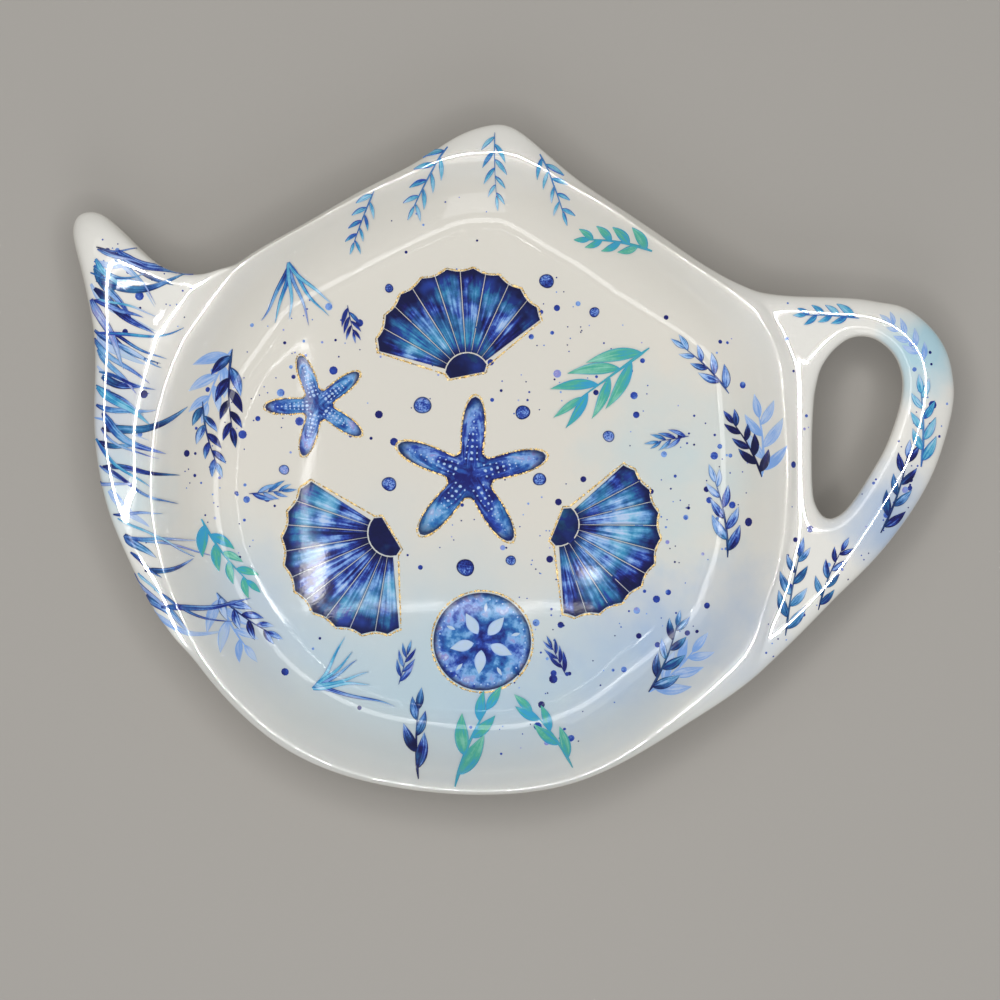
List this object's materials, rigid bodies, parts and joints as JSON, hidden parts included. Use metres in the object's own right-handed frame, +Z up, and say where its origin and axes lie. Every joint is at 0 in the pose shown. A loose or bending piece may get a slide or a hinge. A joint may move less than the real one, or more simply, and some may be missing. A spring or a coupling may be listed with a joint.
{
  "type": "tea bag rest",
  "caption": "Shallow glazed ceramic rest in the outline of a teapot, with a round well for used tea bags, a pouring spout and a looped handle, on a low standing ring.",
  "frame": {"origin": "centre of the outline seen from above, on the table", "axes": "+X from the spout to the handle, +Y from the base to the lid, +Z up from the table"},
  "size_m": [0.1224, 0.0918, 0.0118],
  "materials": {
    "glazed_body": "clear glossy glaze over white porcelain, washed with pale blue",
    "bare_clay": "unglazed, ground flat",
    "fired_ink": "fired underglaze print in indigo and blue",
    "fired_gold": "fired bright gold line"
  },
  "bodies": {
    "root": {"dish": "glazed_body", "spout": "glazed_body", "handle": "glazed_body", "foot_ring": "bare_clay", "printed_motifs": "fired_ink", "gold_outlines": "fired_gold"}
  },
  "joints": []
}
